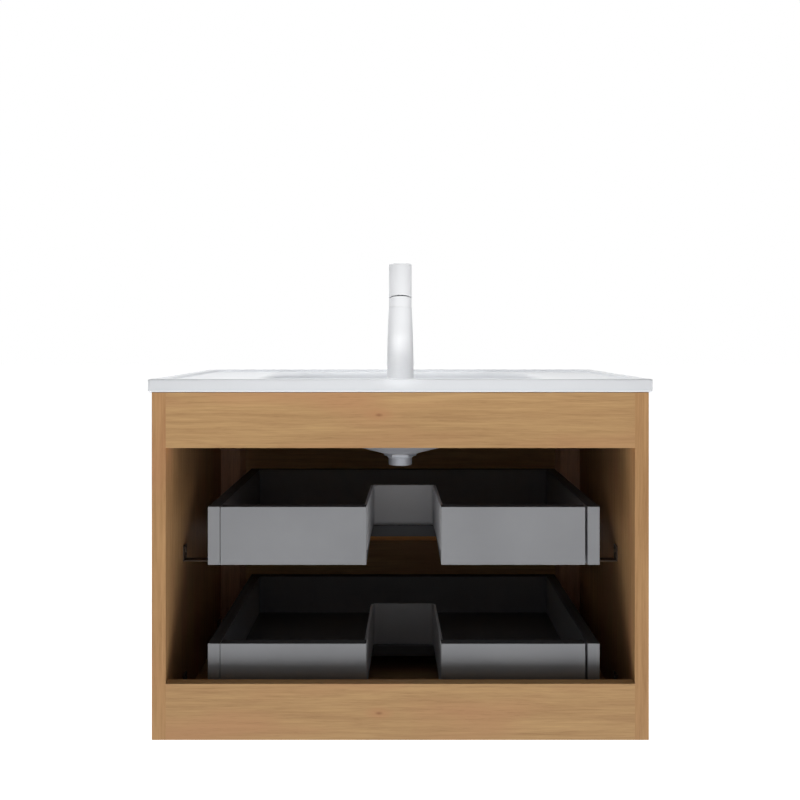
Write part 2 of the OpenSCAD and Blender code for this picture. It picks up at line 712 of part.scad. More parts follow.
// Half plan of the surround at an offset from its inner face, rounded at the end.
function shroud_half(o) = let (r = shroud_corner + o, w = shroud_end_w / 2 + o, e = shroud_end + o)
    concat([[shroud_w / 2 + o, -box_rear - board_t]],
        [for (a = [0 : 15 : 90]) [w - r + r * cos(a), -e + r - r * sin(a)]]);
function shroud_u(a, b) = let (p = shroud_half(a), q = shroud_half(b), n = len(p) - 1)
    concat(p, [for (i = [n : -1 : 0]) [-p[i][0], p[i][1]]],
        [for (i = [0 : n]) [-q[i][0], q[i][1]]], [for (i = [n : -1 : 0]) q[i]]);

// The moulded surround: a thin tapered U on a foot that lies on the bottom.
module drawer_notch(z) color(moulded_grey) at_box(z + board_t) {
    linear_extrude(box_h - board_t) polygon(shroud_u(0, shroud_t));
    linear_extrude(shroud_foot_t) polygon(shroud_u(shroud_t / 2, shroud_t + shroud_foot));
}

module drawer_fixings(z) color(metal) at_box(z) {
    for (s = [-1, 1]) side_screws(s);
    for (s = [-1, 1]) slide_screws(s);
    front_screws();
    back_dowels();
}

// A drawer front; the bevel behind its top edge is the finger grip.
module drawer_front(z, h, box_z) color(oak) difference() {
    translate([-cab_w / 2, -front_d, z]) rotate([90, 0, 90]) linear_extrude(cab_w)
        polygon([[0, 0], [-front_t, 0], [-front_t, h], [-front_bevel, h], [0, h - front_bevel]]);
    at_box(box_z) front_screws(fit);
}

module upper_front() drawer_front(upper_front_z, upper_front_h, upper_box_z);
module upper_box_front() drawer_box_front(upper_box_z);
module upper_side_left() drawer_side(-1, upper_box_z);
module upper_side_right() drawer_side(1, upper_box_z);
module upper_back_left() drawer_back(-1, back_gap_left, upper_box_z);
module upper_back_right() drawer_back(1, back_gap_right, upper_box_z);
module upper_bottom() drawer_bottom(upper_box_z);
module upper_notch() drawer_notch(upper_box_z);
module upper_fixings() drawer_fixings(upper_box_z);
module lower_front() drawer_front(floor_z, lower_front_h, lower_box_z);
module lower_box_front() drawer_box_front(lower_box_z);
module lower_side_left() drawer_side(-1, lower_box_z);
module lower_side_right() drawer_side(1, lower_box_z);
module lower_back_left() drawer_back(-1, back_gap_left, lower_box_z);
module lower_back_right() drawer_back(1, back_gap_right, lower_box_z);
module lower_bottom() drawer_bottom(lower_box_z);
module lower_notch() drawer_notch(lower_box_z);
module lower_fixings() drawer_fixings(lower_box_z);

// Runners

// Sections of the three members, with y up from the underside of the rail.
module bar(w, y0, y1) translate([-w / 2, y0]) square([w, y1 - y0]);
module rail_section() difference() {
    bar(runner_w, 0, rail_h);
    bar(runner_w - 2 * steel_t, steel_t, rail_h - steel_t);
    bar(runner_w - 2 * steel_t - 2 * lip_w, steel_t, rail_h + 1);
}
module mid_section() {
    bar(runner_w - 2 * steel_t - 2 * runner_gap, steel_t + runner_gap, rail_h - steel_t - runner_gap);
    bar(slide_w - 2 * steel_t - 2 * slide_lip_w - 3, steel_t + runner_gap, runner_h - steel_t - runner_gap);
    bar(slide_w - 2 * steel_t - 2 * runner_gap, runner_h - slide_h + steel_t + runner_gap,
        runner_h - steel_t - runner_gap);
}
module slide_section() difference() {
    bar(slide_w, runner_h - slide_h, runner_h);
    bar(slide_w - 2 * steel_t, runner_h - slide_h + steel_t, runner_h - steel_t);
    bar(slide_w - 2 * steel_t - 2 * slide_lip_w, 0, runner_h - steel_t);
}

// Extrudes a section along the runner, from one depth for a length.
module run(s, z, d, l) translate([s * runner_x - box_shift, -d, z - runner_h])
    rotate([90, 0, 0]) linear_extrude(l) children();

// The fixed rail and the two brackets welded under it.
module runner_rail(s, z) color(dark_steel) difference() {
    union() {
        run(s, z, runner_rear, runner_l) rail_section();
        for (d = bracket_spots) {
            x = runner_x - s * box_shift - runner_w / 2;
            board(span(s, x, inside_x), [d, d + bracket_w], [z - runner_h - bracket_t, z - runner_h]);
            board(span(s, inside_x - bracket_t, inside_x), [d, d + bracket_w],
                [z - runner_h - bracket_t, z - runner_h - bracket_t + bracket_h]);
        }
    }
    runner_holes(s, fit);
}
module runner_mid(s, z) color(metal) run(s, z, runner_rear + 2, runner_l - 4) mid_section();
module runner_slide(s, z) color(dark_steel) difference() {
    union() {
        run(s, z, runner_rear, runner_l) slide_section();
        run(s, z, runner_rear, runner_l) translate([s * (slide_w / 2 + ear_out / 2 - 1), 0])
            bar(ear_out + 2 - 4 * fit, runner_h - steel_t, runner_h);
    }
    at_box(z) for (d = slide_screw_spots)
        translate([s * slide_screw_x, -d, -5]) cylinder(h = 6, r = screw_r + fit, $fn = 24);
}

module upper_rail_left() runner_rail(-1, upper_box_z);
module upper_rail_right() runner_rail(1, upper_box_z);
module upper_mid_left() runner_mid(-1, upper_box_z);
module upper_mid_right() runner_mid(1, upper_box_z);
module upper_slide_left() runner_slide(-1, upper_box_z);
module upper_slide_right() runner_slide(1, upper_box_z);
module lower_rail_left() runner_rail(-1, lower_box_z);
module lower_rail_right() runner_rail(1, lower_box_z);
module lower_mid_left() runner_mid(-1, lower_box_z);
module lower_mid_right() runner_mid(1, lower_box_z);
module lower_slide_left() runner_slide(-1, lower_box_z);
module lower_slide_right() runner_slide(1, lower_box_z);
module runner_screws() color(metal) for (s = [-1, 1]) runner_holes(s);

side_panel_left();
side_panel_right();
bottom_panel();
top_rear_rail();
bottom_rear_rail();
top_front_rail();
front_stile_left();
front_stile_right();
carcass_dowels();
front_bumpers();
basin();
waste_body();
waste_core();
waste_plug();
waste_seal();
waste_washer();
waste_nut();
tap_body();
tap_collar();
tap_cartridge();
tap_spindle();
tap_handle();
tap_lever();
tap_aerator();
tap_base_seal();
tap_stud();
tap_washer();
tap_nut();
upper_front();
upper_box_front();
upper_side_left();
upper_side_right();
upper_back_left();
upper_back_right();
upper_bottom();
upper_notch();
upper_fixings();
lower_front();
lower_box_front();
lower_side_left();
lower_side_right();
lower_back_left();
lower_back_right();
lower_bottom();
lower_notch();
lower_fixings();
upper_rail_left();
upper_rail_right();
upper_mid_left();
upper_mid_right();
upper_slide_left();
upper_slide_right();
lower_rail_left();
lower_rail_right();
lower_mid_left();
lower_mid_right();
lower_slide_left();
lower_slide_right();
runner_screws();
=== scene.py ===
# %% [markdown]
# # A wall-hung vanity unit and its finishes
#
# The cabinet, its drawers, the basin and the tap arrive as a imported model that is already
# exact and already moves. What is missing is everything the eye judges by: oak with a grain,
# grey melamine, glazed ceramic, satin enamel, and edges that are never quite sharp.
# The cells go through the finishes and pieces one by one, and say each time how it is done
# and why. Lengths are in metres, and MM turns a length in millimetres into them.

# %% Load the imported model
import json
import math

import bmesh
import bpy
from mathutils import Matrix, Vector

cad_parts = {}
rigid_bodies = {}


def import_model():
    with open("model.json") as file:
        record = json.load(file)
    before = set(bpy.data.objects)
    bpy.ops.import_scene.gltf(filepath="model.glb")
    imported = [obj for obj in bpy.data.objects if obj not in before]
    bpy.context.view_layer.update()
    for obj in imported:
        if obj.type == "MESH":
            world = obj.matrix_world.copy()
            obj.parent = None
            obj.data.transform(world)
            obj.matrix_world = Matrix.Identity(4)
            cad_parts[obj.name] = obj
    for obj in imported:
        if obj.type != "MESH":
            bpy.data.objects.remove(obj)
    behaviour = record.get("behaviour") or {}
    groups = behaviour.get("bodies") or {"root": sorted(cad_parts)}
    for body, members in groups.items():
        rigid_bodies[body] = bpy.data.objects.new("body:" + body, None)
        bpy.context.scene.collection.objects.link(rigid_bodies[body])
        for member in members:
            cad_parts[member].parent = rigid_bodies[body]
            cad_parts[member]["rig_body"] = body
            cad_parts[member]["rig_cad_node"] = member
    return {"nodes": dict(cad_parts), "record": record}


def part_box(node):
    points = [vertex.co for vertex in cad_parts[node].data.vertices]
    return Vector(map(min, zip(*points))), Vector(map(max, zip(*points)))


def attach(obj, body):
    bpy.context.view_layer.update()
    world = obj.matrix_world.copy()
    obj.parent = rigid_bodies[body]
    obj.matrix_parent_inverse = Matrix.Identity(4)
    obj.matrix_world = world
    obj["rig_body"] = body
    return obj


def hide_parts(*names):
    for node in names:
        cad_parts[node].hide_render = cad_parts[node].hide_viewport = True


MM = 0.001

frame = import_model()
nodes = frame["nodes"]
bodies = frame["record"]["behaviour"]["bodies"]
body_of_node = {node: body for body, members in bodies.items() for node in members}
slot_of_node = {part["node"]: part["material_slot"] for part in frame["record"]["subparts"]}
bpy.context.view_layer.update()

# %% [markdown]
# Operators work on whatever is selected, and loading leaves everything selected. A small
# helper clears the selection, and another makes one object the only one that is active.
# A third adds a modifier and applies it at once, so that no piece keeps a live one.

# %% Helpers for selection
def deselect_all():
    """Leaves object mode with nothing selected."""
    if bpy.context.object and bpy.context.object.mode != "OBJECT":
        bpy.ops.object.mode_set(mode="OBJECT")
    bpy.ops.object.select_all(action="DESELECT")


def make_active(piece):
    """Makes the piece the only selected object."""
    deselect_all()
    piece.select_set(True)
    bpy.context.view_layer.objects.active = piece


def apply_modifier(piece, kind, **settings):
    """Adds a modifier with these settings and applies it at once."""
    make_active(piece)
    modifier = piece.modifiers.new(kind.title(), kind)
    for name, value in settings.items():
        setattr(modifier, name, value)
    bpy.ops.object.modifier_apply(modifier=modifier.name)


deselect_all()
print("selected:", len(bpy.context.selected_objects))

# %% [markdown]
# ## Building materials from nodes
#
# Every finish here is a procedural material: it is worked out from the place of a point on the
# object, so it needs no picture and never stretches. The helper `put` adds one node and fills
# its sockets with numbers or with links, which keeps each recipe short enough to read.

# %% Node helpers
def srgb(red, green, blue):
    """A colour as a screen shows it, 0 to 255, turned into the linear values of a shader."""
    def linear(value):
        share = value / 255
        return share / 12.92 if share <= 0.04045 else ((share + 0.055) / 1.055) ** 2.4
    return (linear(red), linear(green), linear(blue), 1)


def put(tree, kind, sockets=None, **settings):
    """Adds a node to a tree, sets its options, and fills its sockets with values or links."""
    made = tree.nodes.new("ShaderNode" + kind)
    for name, value in settings.items():
        setattr(made, name, value)
    for name, value in (sockets or {}).items():
        if isinstance(value, bpy.types.NodeSocket):
            tree.links.new(value, made.inputs[name])
        else:
            made.inputs[name].default_value = value
    return made


def math_node(tree, operation, *values):
    """One step of arithmetic on two or three values."""
    return put(tree, "Math", dict(enumerate(values)), operation=operation).outputs[0]


def blend_colours(tree, share, first, second):
    """A mix of two colours."""
    return put(tree, "Mix", {0: share, 6: first, 7: second}, data_type="RGBA").outputs[2]


def remap(tree, value, low, high, new_low=0.0, new_high=1.0):
    """Stretches a value from one span to another, and holds it there."""
    sockets = {"Value": value, "From Min": low, "From Max": high, "To Min": new_low, "To Max": new_high}
    return put(tree, "MapRange", sockets, clamp=True).outputs["Result"]


def noise(tree, vector, stretch, detail=2.0, roughness=0.5):
    """Soft noise; stretch gives its spots per metre along each axis."""
    scaled = put(tree, "VectorMath", {0: vector, 1: stretch}, operation="MULTIPLY").outputs[0]
    sockets = {"Vector": scaled, "Scale": 1.0, "Detail": detail, "Roughness": roughness}
    return put(tree, "TexNoise", sockets).outputs["Fac"]


print("node helpers are ready")

# %% [markdown]
# An effect that several materials share is a node group, built once, with named inputs for
# what differs. A material itself always starts in the same way: its shader, and the place of
# a point on the object, which a Mapping node may turn and shift.

# %% Helpers for groups and materials
def start_group(name, inputs, outputs):
    """A node group with named inputs and outputs, each given as (name, kind of socket)."""
    group = bpy.data.node_groups.new(name, "ShaderNodeTree")
    for label, kind in inputs:
        group.interface.new_socket(label, in_out="INPUT", socket_type="NodeSocket" + kind)
    for label, kind in outputs:
        group.interface.new_socket(label, in_out="OUTPUT", socket_type="NodeSocket" + kind)
    source = group.nodes.new("NodeGroupInput")
    target = group.nodes.new("NodeGroupOutput")
    return group, source.outputs, target.inputs


def use_group(tree, group, sockets):
    """Places a group in a material and fills its inputs."""
    return put(tree, "Group", sockets, node_tree=group).outputs


def start_material(name, turn=(0, 0, 0), shift=(0, 0, 0), **shader_values):
    """A material with its shader's plain values set: itself, its tree, the shader, the place."""
    material = bpy.data.materials.new(name)
    material.use_nodes = True
    tree = material.node_tree
    shader = tree.nodes["Principled BSDF"]
    for label, value in shader_values.items():
        shader.inputs[label.replace("_", " ")].default_value = value
    place = put(tree, "TexCoord").outputs["Object"]
    sockets = {"Vector": place, "Rotation": turn, "Location": shift}
    placed = put(tree, "Mapping", sockets).outputs["Vector"]
    return material, tree, shader, placed


def finish_surface(tree, shader, colour, roughness, height, depth, strength):
    """Sends colour, roughness and a bump of this depth, in metres, to the shader."""
    tree.links.new(colour, shader.inputs["Base Color"])
    tree.links.new(roughness, shader.inputs["Roughness"])
    bump = put(tree, "Bump", {"Height": height, "Distance": depth, "Strength": strength})
    tree.links.new(bump.outputs["Normal"], shader.inputs["Normal"])


def set_material(piece, material):
    """Makes this the piece's only material."""
    piece.data.materials.clear()
    piece.data.materials.append(material)


print("group and material helpers are ready")

# %% [markdown]
# ## Oak
#
# Oak is ring-porous. In spring it grows a band of wide pores, in summer a dense darker band,
# and a sliced veneer shows both: long lines that wander a little, and short dark dashes
# where pores are cut open. A wave texture would repeat its lines evenly, so each layer here
# is noise that is drawn out along the grain. The boards are quarter-sawn: their year rings
# show as straight streaks and hardly as arches. A colour of its own, the blush, comes and
# goes in long soft patches, as it does along a real board.

# %% The oak group
# Spots per metre, along the grain and across it
WANDER = (1.8, 7, 7)
STREAKS = (6.5, 190, 190)
BANDS = (2.4, 40, 40)
FIBRES = (22, 420, 420)
HAIRS = (45, 1200, 1200)
PATCHES = (4.5, 15, 15)
# How far the lines wander, and how much each layer counts
WANDER_WIDTH = 16 * MM
STREAK_SHARE = 0.54
BAND_SHARE = 0.18
FIBRE_SHARE = 0.28
BLUSH_SHARE = 0.7
PORE_SHARE = 0.32

oak_figure, source, target = start_group(
    "Oak figure",
    [("Vector", "Vector"), ("Light", "Color"), ("Dark", "Color"), ("Blush", "Color"), ("Pore", "Color")],
    [("Color", "Color"), ("Roughness", "Float"), ("Height", "Float")],
)
wander = noise(oak_figure, source["Vector"], WANDER)
wander = math_node(oak_figure, "MULTIPLY_ADD", wander, WANDER_WIDTH, -WANDER_WIDTH / 2)
warped = put(oak_figure, "VectorMath", {0: source["Vector"], 1: wander}, operation="ADD").outputs[0]
streaks = noise(oak_figure, warped, STREAKS, detail=3, roughness=0.65)
bands = noise(oak_figure, warped, BANDS)
fibres = noise(oak_figure, warped, FIBRES, detail=3, roughness=0.6)
hairs = noise(oak_figure, warped, HAIRS)
patches = noise(oak_figure, source["Vector"], PATCHES)

open_hairs = remap(oak_figure, hairs, 0.56, 0.68)
in_streaks = remap(oak_figure, streaks, 0.40, 0.62, 0.2, 1.0)
pores = math_node(oak_figure, "MULTIPLY", open_hairs, in_streaks)
figure = math_node(oak_figure, "MULTIPLY", streaks, STREAK_SHARE)
figure = math_node(oak_figure, "MULTIPLY_ADD", bands, BAND_SHARE, figure)
figure = math_node(oak_figure, "MULTIPLY_ADD", fibres, FIBRE_SHARE, figure)
figure = remap(oak_figure, figure, 0.35, 0.65)

wood = blend_colours(oak_figure, figure, source["Light"], source["Dark"])
blush = math_node(oak_figure, "MULTIPLY", remap(oak_figure, patches, 0.50, 0.72), BLUSH_SHARE)
wood = blend_colours(oak_figure, blush, wood, source["Blush"])
dashes = math_node(oak_figure, "MULTIPLY", pores, PORE_SHARE)
wood = blend_colours(oak_figure, dashes, wood, source["Pore"])
oak_figure.links.new(wood, target["Color"])
oak_figure.links.new(remap(oak_figure, pores, 0, 1, 0.48, 0.66), target["Roughness"])
grain_height = math_node(oak_figure, "SUBTRACT", math_node(oak_figure, "MULTIPLY", fibres, 0.35), pores)
oak_figure.links.new(grain_height, target["Height"])
print("oak group:", len(oak_figure.nodes), "nodes")

# %% [markdown]
# A board is cut along the grain, so a rail has its grain across and a side panel upright.
# The same group serves both: a Mapping node turns the pattern before it enters the group, and
# shifts it, so that no two kinds of board show the same stretch of tree. The stiles are rosier
# wood, and they are also painted paler: painted light, for more light than reaches them.

# %% Oak materials
OAK_LIGHT = srgb(200, 162, 114)
OAK_DARK = srgb(174, 135, 93)
OAK_BLUSH = srgb(190, 143, 103)
OAK_PORE = srgb(142, 102, 68)
ACROSS = (0, 0, 0)
UPRIGHT = (0, math.radians(90), 0)
PORE_DEPTH = 0.06 * MM


def oak_material(name, turn, shift, light=OAK_LIGHT, dark=OAK_DARK, blush=OAK_BLUSH):
    """Matt lacquered wood with its grain along X, unless it is turned."""
    material, tree, shader, placed = start_material(name, turn, shift, Specular_IOR_Level=0.15)
    sockets = {"Vector": placed, "Light": light, "Dark": dark, "Blush": blush, "Pore": OAK_PORE}
    oak = use_group(tree, oak_figure, sockets)
    finish_surface(tree, shader, oak["Color"], oak["Roughness"], oak["Height"], PORE_DEPTH, 0.6)
    return material


oak_across = oak_material("Oak, grain across", ACROSS, (0.3, 0.02, 0))
oak_front = oak_material("Oak, drawer fronts", ACROSS, (1.7, 0.13, 0.05))
oak_upright = oak_material(
    "Oak, grain upright", UPRIGHT, (0.9, 0.31, 0.02),
    light=srgb(198, 156, 109), dark=srgb(172, 130, 88), blush=srgb(188, 134, 98),
)
# Painted light: the stiles' rosy colours are made paler than the wood, for light that doesn't reach
# them.
oak_stile = oak_material(
    "Oak, stiles", UPRIGHT, (2.3, 0.12, 0.4),
    light=srgb(230, 188, 158), dark=srgb(208, 164, 135), blush=srgb(214, 167, 140),
)
beech = oak_material(
    "Beech", ACROSS, (0, 0, 0),
    light=srgb(224, 196, 156), dark=srgb(206, 174, 132), blush=srgb(216, 180, 142),
)
print("wood:", oak_across.name, oak_front.name, oak_upright.name, oak_stile.name, beech.name)

# %% [markdown]
# Each of the two rear rails has one pin knot: a dark eye about a centimetre wide, in a warm
# halo that is drawn out along the grain. It could be a small disc on the board, but a knot
# has no edge. So the distance from its middle, measured in half widths and half heights of
# the knot, fades the halo and the eye into the wood.

# %% Pin knots
KNOTS = ((33.6 * MM, 8.2 * MM), (33.6 * MM, -462.5 * MM))
KNOT_HALF_WIDTH = 5.5 * MM
KNOT_HALF_HEIGHT = 2.4 * MM
KNOT_HALO = srgb(190, 138, 98)
KNOT_EYE = srgb(132, 84, 56)


def add_knot(material, across, up):
    """A pin knot that goes through the boards at this x and z."""
    tree = material.node_tree
    shader = tree.nodes["Principled BSDF"]
    wood = shader.inputs["Base Color"].links[0].from_socket
    nearby = put(tree, "Mapping", {
        "Vector": put(tree, "TexCoord").outputs["Object"],
        "Location": (-across / KNOT_HALF_WIDTH, 0, -up / KNOT_HALF_HEIGHT),
        "Scale": (1 / KNOT_HALF_WIDTH, 0, 1 / KNOT_HALF_HEIGHT),
    }).outputs["Vector"]
    distance = put(tree, "VectorMath", {0: nearby}, operation="LENGTH").outputs["Value"]
    wood = blend_colours(tree, remap(tree, distance, 1.0, 5.0, 0.55, 0.0), wood, KNOT_HALO)
    wood = blend_colours(tree, remap(tree, distance, 0.2, 1.4, 0.6, 0.0), wood, KNOT_EYE)
    tree.links.new(wood, shader.inputs["Base Color"])


for knot in KNOTS:
    add_knot(oak_across, *knot)
print("knots:", len(KNOTS))

# %% [markdown]
# ## Board, moulded plastic and rubber
#
# The drawers are melamine-faced board: a hard printed skin with a fine pebbled touch. From
# close by, its grey isn't one grey but a cloud of slightly lighter and darker ones. Moulded
# plastic and rubber have the same kind of grain, only coarser and softer, so one group makes
# them all, with the number of grains per metre as an input.

# %% The pebble group
SKIN_CLOUDS = (9, 9, 9)

pebble, source, target = start_group(
    "Pebbled skin",
    [("Vector", "Vector"), ("Grains per metre", "Float"), ("Light", "Color"), ("Dark", "Color")],
    [("Color", "Color"), ("Roughness", "Float"), ("Height", "Float")],
)
sockets = {0: source["Vector"], 3: source["Grains per metre"]}
scaled = put(pebble, "VectorMath", sockets, operation="SCALE").outputs[0]
grains = put(pebble, "TexNoise", {"Vector": scaled, "Scale": 1.0, "Detail": 2.0}).outputs["Fac"]
clouds = noise(pebble, source["Vector"], SKIN_CLOUDS, detail=3)
tone = remap(pebble, math_node(pebble, "MULTIPLY_ADD", grains, 0.5, clouds), 0.45, 1.05)
pebble.links.new(blend_colours(pebble, tone, source["Dark"], source["Light"]), target["Color"])
pebble.links.new(remap(pebble, clouds, 0.3, 0.7, 0.42, 0.52), target["Roughness"])
pebble.links.new(grains, target["Height"])
print("pebble group:", len(pebble.nodes), "nodes")

# %% [markdown]
# The boards share their grain and their dull skin. The drawers' boxes are grey, with darker
# bottoms, and the tops of their boards get a painted shade, a dark grey where no light falls.
# The rest is moulded.

# %% Board, plastic and rubber
BOARD = {"grains_per_metre": 1600, "depth": 0.05 * MM, "Specular_IOR_Level": 0.1}


def pebbled_material(name, light, dark, grains_per_metre, depth, **shader_values):
    """Board, moulded plastic or rubber, with a bump of this depth."""
    material, tree, shader, placed = start_material(name, **shader_values)
    sockets = {"Vector": placed, "Grains per metre": grains_per_metre, "Light": light, "Dark": dark}
    skin = use_group(tree, pebble, sockets)
    finish_surface(tree, shader, skin["Color"], skin["Roughness"], skin["Height"], depth, 0.5)
    return material


grey_board = pebbled_material("Grey melamine", srgb(154, 155, 158), srgb(143, 144, 147), **BOARD)
dark_board = pebbled_material("Dark melamine", srgb(100, 101, 104), srgb(90, 91, 94), **BOARD)
# Painted shade: a dark grey for the tops of the drawers' boards, where no light falls.
top_shade = pebbled_material(
    "Painted shade on tops", srgb(62, 62, 64), srgb(54, 54, 56), **(BOARD | {"depth": 0.04 * MM})
)
grey_moulding = pebbled_material(
    "Grey moulding", srgb(172, 173, 176), srgb(162, 163, 167), grains_per_metre=900, depth=0.08 * MM
)
white_plastic = pebbled_material(
    "White plastic", srgb(226, 227, 226), srgb(216, 217, 217), grains_per_metre=1100, depth=0.05 * MM
)
rubber = pebbled_material(
    "Rubber", srgb(46, 46, 47), srgb(34, 34, 35), grains_per_metre=1200, depth=0.08 * MM
)
pebbled = (grey_board, dark_board, top_shade, grey_moulding, white_plastic, rubber)
print("pebbled materials:", [material.name for material in pebbled])

# %% [markdown]
# ## Glaze and enamel
#
# Glazed ceramic is white clay under a layer of glass. This glaze is a satin one, so its
# reflections are soft, and since a fired glaze flows a little, a very long and shallow noise
# makes them swim. Under the slab the clay is bare and rough, and its darker grey is painted
# shade, for the shadow under the slab. The tap is powder coated: white again, but with the fine
# orange peel of the coat. All three are one recipe, because they only differ in tone, in the
# length of their waves and in how rough they are.

# %% White finishes
WHITE_CLOUDS = (6, 6, 6)


def white_material(name, light, dark, waves, depth, rough_low, rough_high, **shader_values):
    """A white finish with faint clouds, and a surface that isn't quite flat."""
    material, tree, shader, placed = start_material(name, **shader_values)
    clouds = noise(tree, placed, WHITE_CLOUDS)
    colour = blend_colours(tree, clouds, light, dark)
    roughness = remap(tree, clouds, 0.3, 0.7, rough_low, rough_high)
    height = noise(tree, placed, (waves, waves, waves), detail=1)
    finish_surface(tree, shader, colour, roughness, height, depth, 0.5)
    return material


glaze = white_material(
    "Glazed ceramic", srgb(228, 230, 233), srgb(224, 226, 229), waves=14, depth=0.01 * MM,
    rough_low=0.29, rough_high=0.34, Specular_IOR_Level=0.4,
)
# Painted shade: the unglazed clay gets a darker grey than it has, for the shadow under the slab.
bare_clay_and_shade = white_material(
    "Unglazed ceramic with painted shade", srgb(152, 153, 159), srgb(142, 143, 149), waves=700, depth=0.1 * MM,
    rough_low=0.6, rough_high=0.75,
)
enamel = white_material(
    "Satin enamel", srgb(240, 241, 243), srgb(236, 237, 239), waves=420, depth=0.03 * MM,
    rough_low=0.46, rough_high=0.54, Coat_Weight=0.05, Coat_Roughness=0.3, Specular_IOR_Level=0.35,
)
print("white finishes:", glaze.name, bare_clay_and_shade.name, enamel.name)

# %% [markdown]
# ## Metals
#
# Metal is told apart by how it scatters light. Chrome hardly scatters at all, and zinc
# plating has a soft, slightly cloudy shine with drawn lines. The satin plating of the waste is
# duller still, and the coat on the runners' steel hides the metal altogether: it is a bronze
# paint with the same fine lines. One recipe with different values makes all four.

# %% Metals
METAL_CLOUDS = (60, 60, 60)
LINE_LENGTH = 8
LINE_DEPTH = 0.02 * MM


def metal_material(name, light, dark, rough_low, rough_high, lines, metallic=1.0):
    """A metal with clouds in its colour and fine lines along Y in its roughness."""
    material, tree, shader, placed = start_material(name, Metallic=metallic)
    clouds = noise(tree, placed, METAL_CLOUDS, detail=3)
    drawn = noise(tree, placed, (lines, LINE_LENGTH, lines))
    colour = blend_colours(tree, clouds, light, dark)
    roughness = remap(tree, drawn, 0.3, 0.7, rough_low, rough_high)
    finish_surface(tree, shader, colour, roughness, drawn, LINE_DEPTH, 0.3)
    return material


chrome = metal_material("Chrome", srgb(226, 228, 231), srgb(218, 220, 224), 0.06, 0.12, lines=300)
zinc = metal_material("Zinc plating", srgb(196, 199, 204), srgb(174, 177, 183), 0.26, 0.42, lines=900)
bronze_steel = metal_material(
    "Bronze coated steel", srgb(80, 63, 48), srgb(68, 53, 40), 0.5, 0.62, lines=700, metallic=0.0
)
satin = metal_material(
    "Satin plating", srgb(202, 206, 214), srgb(190, 194, 203), 0.48, 0.58, lines=500, metallic=0.35
)
print("metals:", chrome.name, zinc.name, bronze_steel.name, satin.name)

# %% [markdown]
# ## Give every piece its finish
#
# The record names a material slot for each node, so a short table is enough. A second table
# holds the exceptions: oak with its grain upright, the drawers' fronts and dark bottoms, the
# waste with its plating, the covered screw heads in the drawers and the runners' screws.

# %% Assign the materials
FINISH = {
    "oak": oak_across, "stile_oak": oak_stile, "beech": beech, "grey_board": grey_board,
    "grey_moulding": grey_moulding, "ceramic": glaze, "white_enamel": enamel,
    "white_plastic": white_plastic, "chrome": chrome, "steel": zinc, "dark_steel": bronze_steel,
    "rubber": rubber,
}
SPECIAL = {
    "side_panel_left": oak_upright, "side_panel_right": oak_upright,
    "upper_front": oak_front, "lower_front": oak_front,
    "upper_bottom": dark_board, "lower_bottom": dark_board,
    "upper_fixings": grey_board, "lower_fixings": grey_board,
    "waste_body": satin, "waste_nut": satin, "waste_washer": grey_moulding,
    "runner_screws": bronze_steel,
}

for name, piece in nodes.items():
    set_material(piece, SPECIAL.get(name, FINISH[slot_of_node[name]]))
print("finished nodes:", len(nodes), "of them exceptions:", len(SPECIAL))

# %% [markdown]
# ## Soft edges
#
# No real edge is a line. A board's edge is eased with sandpaper, a pressed sheet has a
# rolled edge, and that small rounding is what catches the light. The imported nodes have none, so
# each is copied, its loose triangles are merged and its flat faces joined, and its edges get
# a narrow bevel. Weighted normals then keep the flat faces flat to the eye, because otherwise
# they would shade towards their rounded edges. The copy stands for the node, and the node
# stays for the mechanics.

# %% Copies with soft edges
BEVEL_STEPS = 2
SHARP = math.radians(35)
FLAT = math.radians(0.5)


def soften(name, width):
    """Replaces a node by a copy with rounded edges, width in metres."""
    make_active(nodes[name])
    bpy.ops.object.duplicate()
    piece = bpy.context.object
    piece.name = name + "_soft"
    bpy.ops.object.mode_set(mode="EDIT")
    bpy.ops.mesh.select_all(action="SELECT")
    bpy.ops.mesh.remove_doubles(threshold=0.002 * MM)
    bpy.ops.mesh.dissolve_limited(angle_limit=FLAT)
    bpy.ops.object.mode_set(mode="OBJECT")
    apply_modifier(
        piece, "BEVEL", width=width, segments=BEVEL_STEPS, limit_method="ANGLE", angle_limit=SHARP
    )
    bpy.ops.object.shade_smooth_by_angle(angle=SHARP)
    apply_modifier(piece, "WEIGHTED_NORMAL", keep_sharp=True)
    # The copy is a piece of its own, so it drops the marks that make an object a node
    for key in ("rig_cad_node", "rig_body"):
        if key in piece:
            del piece[key]
    piece.parent = None
    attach(piece, body_of_node[name])
    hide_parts(name)
    return piece


print("bevel steps:", BEVEL_STEPS, "sharp from", round(math.degrees(SHARP)), "degrees")

# %% [markdown]
# Each family of pieces gets its own width: wide on boards, narrow on pressed steel. Pieces
# that nothing ever shows, such as dowels in their holes, stay as they are, and the basin gets
# a mesh of its own further down.

# %% Soften the boards, the drawers and the metal
SOFT_WIDTH = {
    "oak": 0.7 * MM, "stile_oak": 0.7 * MM, "grey_board": 0.5 * MM, "grey_moulding": 0.8 * MM,
    "dark_steel": 0.25 * MM, "steel": 0.2 * MM, "chrome": 0.3 * MM, "white_enamel": 0.35 * MM,
    "white_plastic": 0.4 * MM, "rubber": 0.3 * MM,
}
LEFT_AS_PACKED = ("carcass_dowels", "tap_cartridge", "waste_seal")

softened = {
    name: soften(name, SOFT_WIDTH[slot_of_node[name]])
    for name in sorted(nodes) if name != "basin" and name not in LEFT_AS_PACKED
}
print("softened:", len(softened), "pieces")

# %% [markdown]
# The tops of the drawers' boards are painted dark: this is painted shade, for the top faces
# that no light reaches. It adds no thickness, so it is only a second material: the faces on top
# are found by their height and by their normal, and take it.

# %% Painted shade on the tops of the drawers' boards
TOP_SHADED = ("side_left", "side_right", "back_left", "back_right", "box_front")
TOP_SHADE_REACH = 0.6 * MM


